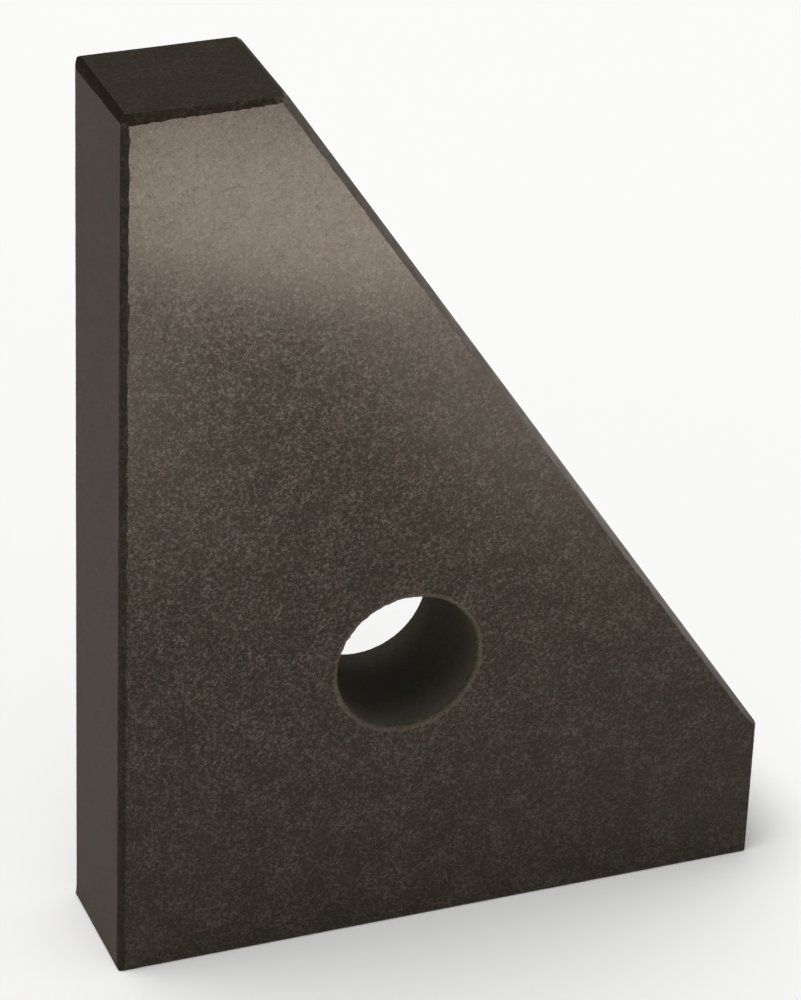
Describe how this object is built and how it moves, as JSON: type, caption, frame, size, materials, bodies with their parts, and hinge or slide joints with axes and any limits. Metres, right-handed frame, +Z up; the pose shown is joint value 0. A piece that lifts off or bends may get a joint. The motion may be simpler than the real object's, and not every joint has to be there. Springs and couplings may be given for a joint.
{
  "type": "granite square",
  "caption": "Flat black granite block with an upright face square to its base, a slanted side, ground chamfers and a bored hand hole, for checking right angles.",
  "frame": {"origin": "middle of the base, on the surface that the square stands on", "axes": "+Z up along the upright working face, +X along the base from the upright face to the nose, +Y through the thickness from the front face to the back face"},
  "size_m": [0.22, 0.047, 0.3],
  "materials": {
    "granite": "black granite, lapped to a satin face, with ground chamfers"
  },
  "bodies": {
    "root": {"granite_square": "granite"}
  },
  "joints": []
}
